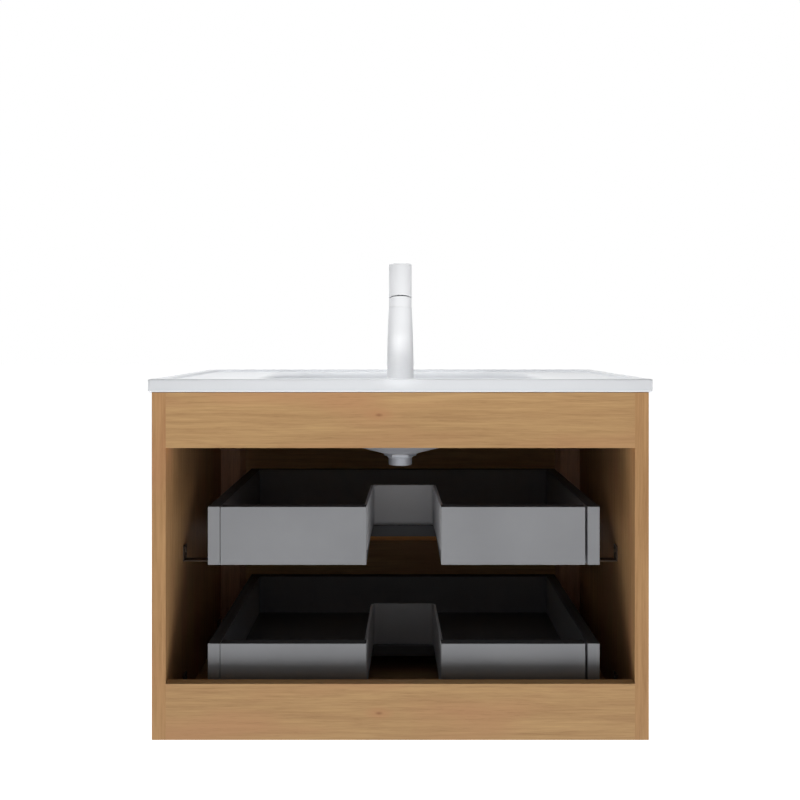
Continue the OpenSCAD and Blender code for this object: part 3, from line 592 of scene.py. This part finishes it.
def shade_top(piece):
    """Gives the faces along the piece's top the painted shade; returns how many there are."""
    piece.data.materials.append(top_shade)
    lowest = max(vertex.co.z for vertex in piece.data.vertices) - TOP_SHADE_REACH
    along_top = [face for face in piece.data.polygons if face.normal.z > 0.3 and face.center.z > lowest]
    for face in along_top:
        face.material_index = 1
    return len(along_top)


# Painted shade goes on the top faces of each drawer board.
shaded_tops = [shade_top(softened[row + part]) for row in ("upper_", "lower_") for part in TOP_SHADED]
print("edged faces:", shaded_tops)

# %% [markdown]
# ## The basin
#
# A ceramic basin is cast in one piece: a slab with a raised rim, a shallow deck, a bowl that
# curves into a funnel, and the same forms again as a shell underneath. Insets from one box
# would give tight corners, so slab, recess, bowl and shell each start as a box of their own.
# Their upright edges are bevelled into corners with the same number of points, and the open
# rings are then bridged, which lays rim, deck and underside between them as clean strips.
# First come the sizes. Distances called rear, front or depth are counted from the wall.

# %% Sizes of the basin
low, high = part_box("basin")
SLAB_W = high.x - low.x
SLAB_D = high.y - low.y
SLAB_TOP = high.z
SLAB_CORNER = 6 * MM
CAB_TOP = SLAB_TOP - 21 * MM
DECK_Z = SLAB_TOP - 5.5 * MM
DECK_CORNER = 40 * MM
RIM_W = 20 * MM
BOWL_W = 500 * MM
BOWL_REAR = 125 * MM
BOWL_FRONT = 400 * MM
BOWL_DEPTH = 108 * MM
BOWL_WALL = 9 * MM
BOWL_CORNER = 60 * MM
TAPER_W = 110 * MM
TAPER_REAR = 25 * MM
TAPER_FRONT = 45 * MM
WASTE_D = 190 * MM
FLOOR_Z = DECK_Z - BOWL_DEPTH
OUTLET_Z = FLOOR_Z - 14 * MM
OUTLET_R = 34 * MM
SEAT_Z = OUTLET_Z - 3 * MM
SEAT_R = 33 * MM
BORE_R = 22.455 * MM
PAD_R = 36 * MM
UNDER_Z = low.z
TAP_D = 60 * MM
TAP_HOLE_R = 17.5 * MM
RELIEF_H = 5 * MM
CORNER_STEPS = 14
CLOSE = 0.01 * MM
print("slab:", round(SLAB_W, 3), "x", round(SLAB_D, 3), "m, outlet down to", round(UNDER_Z, 4))

# %% [markdown]
# Shaping happens in edit mode, where an operator acts on the selected part of one mesh. By
# hand one would click; here a part is selected by a test of its place, such as all upright
# edges, or the face at one height.

# %% Helpers that select in edit mode
def edit(piece):
    """Opens the piece in edit mode with nothing selected."""
    make_active(piece)
    bpy.ops.object.mode_set(mode="EDIT")
    bpy.ops.mesh.select_all(action="DESELECT")


def pick(kind, test):
    """Selects the vertices, edges or faces that pass a test, and nothing else."""
    mode = {"verts": "VERT", "edges": "EDGE", "faces": "FACE"}[kind]
    bpy.ops.mesh.select_mode(type=mode)
    bpy.ops.mesh.select_all(action="DESELECT")
    mesh = bmesh.from_edit_mesh(bpy.context.object.data)
    chosen = [part for part in getattr(mesh, kind) if test(part)]
    for part in chosen:
        part.select_set(True)
    mesh.select_flush_mode()
    bmesh.update_edit_mesh(bpy.context.object.data)
    return len(chosen)


def level(part, z):
    """Whether all points of an edge or a face lie at one height."""
    return all(abs(v.co.z - z) < CLOSE for v in part.verts)


def upright(edge):
    """Whether an edge stands upright."""
    first, second = edge.verts
    return (first.co - second.co).xy.length < CLOSE


print("selection helpers are ready, points count as level within", CLOSE / MM, "mm")

# %% [markdown]
# Three moves make all the forms: a box whose upright edges are rounded, an end that is
# opened, and a ring that is extruded and fitted to the next one. A ring is written as its
# width, its rear, its front and its level.

# %% Helpers that shape in edit mode
def rounded_box(name, width, rear, front, top, bottom, corner):
    """A box between two depths from the wall, with its upright edges rounded, left in edit mode."""
    deselect_all()
    middle = (0, -(rear + front) / 2, (top + bottom) / 2)
    bpy.ops.mesh.primitive_cube_add(size=1, location=middle, scale=(width, front - rear, top - bottom))
    piece = bpy.context.object
    piece.name = name
    bpy.ops.object.transform_apply(location=True, rotation=True, scale=True)
    edit(piece)
    pick("edges", upright)
    bpy.ops.mesh.bevel(offset=corner, segments=CORNER_STEPS, affect="EDGES")
    return piece


def open_end(z):
    """Deletes the face at one height, which leaves an open ring there."""
    pick("faces", lambda face: level(face, z))
    bpy.ops.mesh.delete(type="FACE")


def fit_ring(old, new):
    """Stretches and moves the selected face from one ring to another."""
    middle = (0, -(old[1] + old[2]) / 2, old[3])
    scale = (new[0] / old[0], (new[2] - new[1]) / (old[2] - old[1]), 1)
    bpy.ops.transform.resize(value=scale, center_override=middle)
    move = (0, (old[1] + old[2] - new[2] - new[1]) / 2, new[3] - old[3])
    bpy.ops.transform.translate(value=move)


def draw_ring(old, new):
    """Extrudes the selected face and fits it to a new ring, which is returned."""
    bpy.ops.mesh.extrude_region_move()
    fit_ring(old, new)
    return new


def round_ring(radius, z):
    """A round ring about the waste's axis."""
    return (2 * radius, WASTE_D - radius, WASTE_D + radius, z)


print("shaping helpers are ready")

# %% [markdown]
# The bowl's wall drops steeply from the mouth and turns softly into the floor. Seen from the
# side that is a quarter of an ellipse, so its rings are placed at equal angles. Below the
# floor the rings close in on the outlet. The shell has rings of the same kind, a wall's
# thickness further out.

# %% Rings of the bowl
SHELL_DROP = 2 * MM
# The angle at which the shell passes through the level of the slab's underside
UNDERSIDE_ANGLE = 6.6


def bowl_ring(angle, grow, mouth_z, depth):
    """The bowl's ring at an angle down its wall, in degrees, widened by grow."""
    inward = 1 - math.cos(math.radians(angle))
    return (
        BOWL_W + 2 * grow - TAPER_W * inward,
        BOWL_REAR - grow + TAPER_REAR * inward,
        BOWL_FRONT + grow - TAPER_FRONT * inward,
        mouth_z - depth * math.sin(math.radians(angle)),
    )


def shell_ring(angle):
    """The shell's ring at an angle down the bowl's wall, in degrees."""
    return bowl_ring(angle, BOWL_WALL, DECK_Z - SHELL_DROP, BOWL_DEPTH + BOWL_WALL)


INNER_RINGS = [bowl_ring(angle, 0, DECK_Z, BOWL_DEPTH) for angle in range(0, 91, 9)]
INNER_NECK = [
    (236 * MM, 152 * MM, 322 * MM, FLOOR_Z - 0.5 * MM),
    (168 * MM, 153 * MM, 284 * MM, FLOOR_Z - 3.2 * MM),
    (108 * MM, 154 * MM, 244 * MM, FLOOR_Z - 8.4 * MM),
]
INNER_ROUNDS = [
    (OUTLET_R, OUTLET_Z), (SEAT_R, OUTLET_Z - 0.3 * MM), (SEAT_R, SEAT_Z), (BORE_R, SEAT_Z),
    (BORE_R, UNDER_Z),
]
OUTER_RINGS = [(*shell_ring(UNDERSIDE_ANGLE)[:3], CAB_TOP)]
OUTER_RINGS += [shell_ring(angle) for angle in range(15, 91, 15)]
OUTER_NECK = [(176 * MM, 146 * MM, 290 * MM, FLOOR_Z - 11.2 * MM)]
OUTER_ROUNDS = [(PAD_R, UNDER_Z + 1 * MM), (PAD_R, UNDER_Z)]
print("rings of the bowl:", len(INNER_RINGS), "and of the shell:", len(OUTER_RINGS))

# %% [markdown]
# A bowl is drawn down from its open mouth, one extrusion for each ring. The corners of the
# rings keep their number of points all the way, so the neck's last ring can be made round
# with one To Sphere, and then fits the outlet point by point.

# %% The bowl and its shell
def make_bowl(name, corner, rings, neck, rounds, material):
    """Rings drawn down from an open mouth: the wall, then a neck, then round ones."""
    first, second = rings[:2]
    piece = rounded_box(name, *first[:3], first[3], second[3], corner)
    pick("faces", lambda face: level(face, second[3]))
    fit_ring((*first[:3], second[3]), second)
    at = second
    for ring in rings[2:] + neck:
        at = draw_ring(at, ring)
    at = draw_ring(at, round_ring(*rounds[0]))
    bpy.ops.transform.tosphere(value=1)
    loop = [v.co for v in bmesh.from_edit_mesh(piece.data).verts if v.select]
    reach = sum(math.hypot(co.x, co.y + WASTE_D) for co in loop) / len(loop)
    fit = rounds[0][0] / reach
    bpy.ops.transform.resize(value=(fit, fit, 1), center_override=(0, -WASTE_D, at[3]))
    for spec in rounds[1:]:
        at = draw_ring(at, round_ring(*spec))
    open_end(first[3])
    open_end(at[3])
    deselect_all()
    set_material(piece, material)
    return piece


inner = make_bowl("bowl_inner", BOWL_CORNER, INNER_RINGS, INNER_NECK, INNER_ROUNDS, glaze)
outer = make_bowl(
    "bowl_outer", BOWL_CORNER + BOWL_WALL / 2, OUTER_RINGS, OUTER_NECK, OUTER_ROUNDS, bare_clay_and_shade
)
print("bowl:", len(inner.data.polygons), "faces, shell:", len(outer.data.polygons), "faces")

# %% [markdown]
# Now the slab and the recess in its top join the bowl. Everything becomes one mesh, and each
# pair of open rings at one height is bridged. Two rings in one plane would give the bridge no
# direction, and it could come out twisted, so the inner ring is lowered by a millimetre
# meanwhile. Once the mesh is closed, its normals can be recalculated to point outwards.

# %% Join and bridge
# The level of each pair of rings, and how far the inner one reaches from the waste's axis
PAIRS = ((SLAB_TOP, 390 * MM), (DECK_Z, 300 * MM), (CAB_TOP, 300 * MM), (UNDER_Z, 24 * MM))

slab = rounded_box("basin_glazed", SLAB_W, 0, SLAB_D, SLAB_TOP, CAB_TOP, SLAB_CORNER)
open_end(SLAB_TOP)
open_end(CAB_TOP)
recess = rounded_box(
    "recess", SLAB_W - 2 * RIM_W, RIM_W, SLAB_D - RIM_W, SLAB_TOP, DECK_Z, DECK_CORNER
)
open_end(SLAB_TOP)
open_end(DECK_Z)
deselect_all()
set_material(slab, glaze)
set_material(recess, glaze)
for part in (recess, inner, outer, slab):
    part.select_set(True)
bpy.context.view_layer.objects.active = slab
bpy.ops.object.join()


def within(edge, reach):
    """Whether an edge lies within this distance of the waste's axis, along x and along y."""
    return all(abs(v.co.x) < reach and abs(v.co.y + WASTE_D) < reach for v in edge.verts)


edit(slab)
for z, reach in PAIRS:
    pick("edges", lambda edge: edge.is_boundary and level(edge, z) and within(edge, reach))
    bpy.ops.transform.translate(value=(0, 0, -MM))
    pick("edges", lambda edge: edge.is_boundary and (level(edge, z) or level(edge, z - MM)))
    bpy.ops.mesh.bridge_edge_loops()
    lowered = pick("verts", lambda vertex: abs(vertex.co.z - z + MM) < CLOSE)
    bpy.ops.transform.translate(value=(0, 0, MM))
    print("bridged", lowered, "points at", round(z, 4))
bpy.ops.mesh.select_all(action="SELECT")
bpy.ops.mesh.remove_doubles(threshold=0.005 * MM)
bpy.ops.mesh.normals_make_consistent(inside=False)

# %% [markdown]
# Glaze never holds on a sharp edge, so every edge of a basin is round: barely at the foot of
# the rim, generously at the mouth of the bowl. One bevel of the whole mesh couldn't tell
# these apart, so each group of edges is picked by its level and its place.

# %% Round the edges of the ceramic
BORDER = SLAB_CORNER + 0.1 * MM
MOUTH_MARGIN = 12 * MM


def on_border(edge):
    """Whether an edge belongs to the slab's outer border."""
    return all(
        abs(v.co.x) > SLAB_W / 2 - BORDER or v.co.y > -BORDER or v.co.y < BORDER - SLAB_D
        for v in edge.verts
    )


def in_mouth(edge):
    """Whether an edge lies inside the bowl's mouth."""
    return all(
        abs(v.co.x) < BOWL_W / 2 + MOUTH_MARGIN
        and -BOWL_FRONT - MOUTH_MARGIN < v.co.y < -BOWL_REAR + MOUTH_MARGIN
        for v in edge.verts
    )


def flat_pair(edge):
    """Whether the edge only divides one flat face."""
    return len(edge.link_faces) == 2 and edge.calc_face_angle(0) < math.radians(2)


def round_edges(test, radius, steps):
    """Bevels the edges that pass a test; returns how many there are."""
    found = pick("edges", lambda edge: not flat_pair(edge) and test(edge))
    bpy.ops.mesh.bevel(offset=radius, segments=steps, affect="EDGES", clamp_overlap=True)
    return found


counts = {
    "rim": round_edges(lambda e: level(e, SLAB_TOP) and not on_border(e), 2.2 * MM, 5),
    "foot of the rim": round_edges(lambda e: level(e, DECK_Z) and not in_mouth(e), 2.8 * MM, 5),
    "mouth": round_edges(lambda e: level(e, DECK_Z) and in_mouth(e), 7 * MM, 7),
    "border": round_edges(
        lambda e: (level(e, SLAB_TOP) or level(e, CAB_TOP)) and on_border(e), 2.5 * MM, 5
    ),
    "shell": round_edges(lambda e: level(e, CAB_TOP) and in_mouth(e), 5 * MM, 4),
    "outlet": round_edges(lambda e: level(e, UNDER_Z), 1.2 * MM, 3),
}
print("edges rounded:", counts)

# %% [markdown]
# The underside is relieved beside and behind the bowl, so that the slab dries evenly and
# rests only on its edge. Plane cuts mark out the three fields, and they are pushed up.

# %% The relief under the slab
INSIDE_X = min(abs(corner.x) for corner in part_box("side_panel_left"))
RELIEF_GAP = 13 * MM
RELIEF_X = (BOWL_W / 2 + RELIEF_GAP, INSIDE_X - 20 * MM)
RELIEF_D = (27 * MM, BOWL_REAR - RELIEF_GAP, 417 * MM)

for x in (-RELIEF_X[1], -RELIEF_X[0], *RELIEF_X):
    pick("faces", lambda face: level(face, CAB_TOP))
    bpy.ops.mesh.bisect(plane_co=(x, 0, 0), plane_no=(1, 0, 0))
for depth in RELIEF_D:
    pick("faces", lambda face: level(face, CAB_TOP))
    bpy.ops.mesh.bisect(plane_co=(0, -depth, 0), plane_no=(0, 1, 0))


def in_relief(face):
    """Whether a face of the underside lies in the relieved fields."""
    middle = face.calc_center_median()
    beside = RELIEF_X[0] < abs(middle.x) < RELIEF_X[1] and -RELIEF_D[2] < middle.y < -RELIEF_D[0]
    behind = abs(middle.x) < RELIEF_X[0] and -RELIEF_D[1] < middle.y < -RELIEF_D[0]
    return level(face, CAB_TOP) and (beside or behind)


found = pick("faces", in_relief)
bpy.ops.mesh.extrude_region_move(TRANSFORM_OT_translate={"value": (0, 0, RELIEF_H)})
deselect_all()
print("relieved faces:", found)

# %% [markdown]
# The tap's hole is drilled with a Boolean, because it lies in the middle of a flat strip,
# where nothing has to flow round it.

# %% Drill the tap hole
hole_middle = (0, -TAP_D, (SLAB_TOP + CAB_TOP) / 2)
deselect_all()
bpy.ops.mesh.primitive_cylinder_add(vertices=96, radius=TAP_HOLE_R, depth=40 * MM, location=hole_middle)
drill = bpy.context.object
bpy.ops.object.transform_apply(location=True)
apply_modifier(slab, "BOOLEAN", object=drill, operation="DIFFERENCE", solver="EXACT")
bpy.data.objects.remove(drill)
print("basin:", len(slab.data.polygons), "faces")

# %% [markdown]
# Glaze is poured over the top and the edges, and the clay stays bare where the basin stands
# in the kiln and on the outside of its bowl. So the basin has two materials, and each face
# gets its own by its height and by where it looks; the unglazed one is painted darker, as
# painted shade for the shadow under the slab. Weighted normals keep the flat faces flat
# beside their rounded edges.

# %% Finish the basin
SHELL_HALF_W = 300 * MM
NEARLY = 0.1 * MM
bowl_middle = Vector((0, -(BOWL_REAR + BOWL_FRONT) / 2, 0))


def is_bare_and_shaded(face):
    """Whether a face lies under the slab or outside on the bowl's shell, where no glaze is and the clay
    takes painted shade.
    """
    under_slab = face.center.z < CAB_TOP + RELIEF_H + NEARLY and face.normal.z < -0.5
    outward = (face.center - bowl_middle).xy.dot(face.normal.xy) > 0
    on_shell = abs(face.center.x) < SHELL_HALF_W and face.center.z < CAB_TOP - NEARLY
    return under_slab or (on_shell and outward and face.normal.z < 0.3)


set_material(slab, glaze)
# The unglazed faces take the darker clay, which is painted shade.
slab.data.materials.append(bare_clay_and_shade)
for face in slab.data.polygons:
    face.material_index = int(is_bare_and_shaded(face))
make_active(slab)
bpy.ops.object.shade_smooth_by_angle(angle=math.radians(40))
apply_modifier(slab, "WEIGHTED_NORMAL", keep_sharp=True, weight=60)
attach(slab, "cabinet")
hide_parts("basin")
bare = sum(face.material_index for face in slab.data.polygons)
print("bare faces:", bare, "top:", round(max(v.co.z for v in slab.data.vertices), 4))

# %% [markdown]
# ## Camera
#
# The picture was taken level and straight from behind, so a plain perspective camera at the
# same distance gives the same lines. Its axis meets the picture above the middle; the lens
# is shifted by that much instead of tilting the camera, which keeps the uprights upright.

# %% Set the camera
FRAME_PX = 800
FOCAL_PX = 883.2
AXIS_PX = (400.3, 339.0)
SENSOR = 36.0
CAMERA_PLACE = (0.0, 1.394, 0.1282)

camera_data = bpy.data.cameras.new("portrait")
camera_data.sensor_width = SENSOR
camera_data.lens = FOCAL_PX / FRAME_PX * SENSOR
camera_data.shift_x = (FRAME_PX / 2 - AXIS_PX[0]) / FRAME_PX
camera_data.shift_y = (AXIS_PX[1] - FRAME_PX / 2) / FRAME_PX
camera = bpy.data.objects.new("portrait", camera_data)
bpy.context.scene.collection.objects.link(camera)
camera.location = CAMERA_PLACE
camera.rotation_euler = (math.radians(90), 0, math.radians(180))
bpy.context.scene.camera = camera
print("lens:", round(camera_data.lens, 2), "mm")

# %% [markdown]
# ## The world's light
#
# The picture's light comes from a table that is lit from below: upright faces are bright,
# shelves and everything behind a ledge are dark, and the shade of a ledge points upwards.
# One lamp under the object would light it unevenly, so the world itself is the lamp. It has a
# bright belt about 50 degrees below the level, a little stronger on the left panel's side, a
# weaker glow from below that fades towards the level, and almost nothing above it. Where the
# camera or a reflection sees the world, it is plain white.

# %% The world
BELT_LEVEL = -0.77
BELT_CORE = 0.07
BELT_EDGE = 0.17
BELT = 6.1
BELOW = 0.7
EVEN = 0.03
WHITE = (1, 1, 1, 1)


def seen_directly(tree):
    """One where the camera looks, also by way of a mirror or of glass, and zero elsewhere."""
    rays = put(tree, "LightPath").outputs
    seen = math_node(tree, "MAXIMUM", rays["Is Camera Ray"], rays["Is Glossy Ray"])
    return math_node(tree, "MAXIMUM", seen, rays["Is Transmission Ray"])


world = bpy.data.worlds.new("studio")
bpy.context.scene.world = world
world.use_nodes = True
tree = world.node_tree
tree.nodes.clear()
direction = put(tree, "TexCoord").outputs["Generated"]
parts = put(tree, "SeparateXYZ", {0: direction}).outputs
away = math_node(tree, "ABSOLUTE", math_node(tree, "SUBTRACT", parts["Z"], BELT_LEVEL))
belt = math_node(tree, "MULTIPLY", remap(tree, away, BELT_CORE, BELT_EDGE, 1.0, 0.0), BELT)
tilt = remap(tree, parts["X"], -1.0, 1.0, 1.15, 0.85)
below = math_node(tree, "MULTIPLY", remap(tree, parts["Z"], -0.75, -0.05, 1.0, 0.0), BELOW)
light = math_node(tree, "ADD", math_node(tree, "MULTIPLY_ADD", belt, tilt, below), EVEN)
studio = put(tree, "Background", {"Color": WHITE, "Strength": light}).outputs[0]
plain = put(tree, "Background", {"Color": WHITE, "Strength": 1.0}).outputs[0]
mixed = put(tree, "MixShader", {0: seen_directly(tree), 1: studio, 2: plain}).outputs[0]
put(tree, "OutputWorld", {"Surface": mixed})
bpy.context.scene.view_settings.view_transform = "Standard"
print("world nodes:", len(tree.nodes))

# %% [markdown]
# ## Lamps
#
# A soft lamp hangs over the rear half of the slab: it lights the deck and the bowl, and only
# grazes the upright faces. Two narrow slot lights, left and right behind the wall's plane,
# shine over the slab's rear edge, so they reach the tap and the bowl's far wall and little
# below them. The foot of the tap, which the slab shades from the light below, has a small
# spot of its own, and a broad lamp lights the front. None of them is seen by the camera or in
# a reflection.

# %% Hang the lamps
def hang_lamp(name, kind, place, aim, power, **settings):
    """A lamp at a place that points at another; neither camera nor reflections see it."""
    data = bpy.data.lights.new(name, kind)
    data.energy = power
    for label, value in settings.items():
        setattr(data, label, value)
    lamp = bpy.data.objects.new(name, data)
    bpy.context.scene.collection.objects.link(lamp)
    lamp.location = place
    lamp.rotation_euler = (Vector(aim) - Vector(place)).to_track_quat("-Z", "Y").to_euler()
    lamp.visible_camera = False
    lamp.visible_glossy = False
    return lamp


lamps = [hang_lamp(
    "overhead", "AREA", place=(0.1, -0.11, 0.95), aim=(0.05, -0.2, 0), power=8.2,
    shape="RECTANGLE", size=0.9, size_y=0.25,
)]
for side, power in ((0.6, 0.098), (-0.6, 0.108)):
    lamps.append(hang_lamp(
        "slot_light", "AREA", place=(side, 0.7, 0.36), aim=(-0.1 * side, -0.4, 0.055), power=power,
        shape="RECTANGLE", size=1.0, size_y=0.04, spread=math.radians(19),
    ))
lamps.append(hang_lamp(
    "foot_spot", "SPOT", place=(0.05, 0.95, 0.73), aim=(0, -0.03, 0.088), power=17,
    spot_size=math.radians(4.9), spot_blend=0.4, shadow_soft_size=0.01,
))
lamps.append(hang_lamp(
    "front_side", "AREA", place=(1.6, -3.0, 1.8), aim=(0, -0.3, -0.2), power=20, size=2.0
))
print("lamps:", [lamp.name for lamp in lamps])

# %% [markdown]
# ## Floor
#
# The unit hangs with its top about 90 cm over the floor. The floor is white paper on the
# light table: it lets the light from below through, its own colour takes the object's
# shadow, and a glow towards the camera lifts the rest to white.

# %% Make the floor
MOUNTING_HEIGHT = 900 * MM
FLOOR_SIZE = 60
PAPER_FIBRES = (40, 40, 40)
GLOW = 0.97

floor_level = SLAB_TOP - MOUNTING_HEIGHT
deselect_all()
bpy.ops.mesh.primitive_plane_add(size=FLOOR_SIZE, location=(0, 0, floor_level))
floor = bpy.context.object
floor.name = "floor"
paper, tree, shader, placed = start_material("Paper floor", Roughness=0.9)
fibre = noise(tree, placed, PAPER_FIBRES, detail=3)
white_paper = blend_colours(tree, fibre, srgb(250, 250, 250), srgb(246, 246, 246))
tree.links.new(white_paper, shader.inputs["Base Color"])
strength = math_node(tree, "MULTIPLY", seen_directly(tree), GLOW)
glow = put(tree, "Emission", {"Color": WHITE, "Strength": strength}).outputs[0]
lit = put(tree, "AddShader", {0: shader.outputs[0], 1: glow}).outputs[0]
tree.links.new(lit, tree.nodes["Material Output"].inputs["Surface"])
set_material(floor, paper)
floor.visible_diffuse = False
floor.visible_shadow = False
print("floor at", round(floor_level, 3), "m")
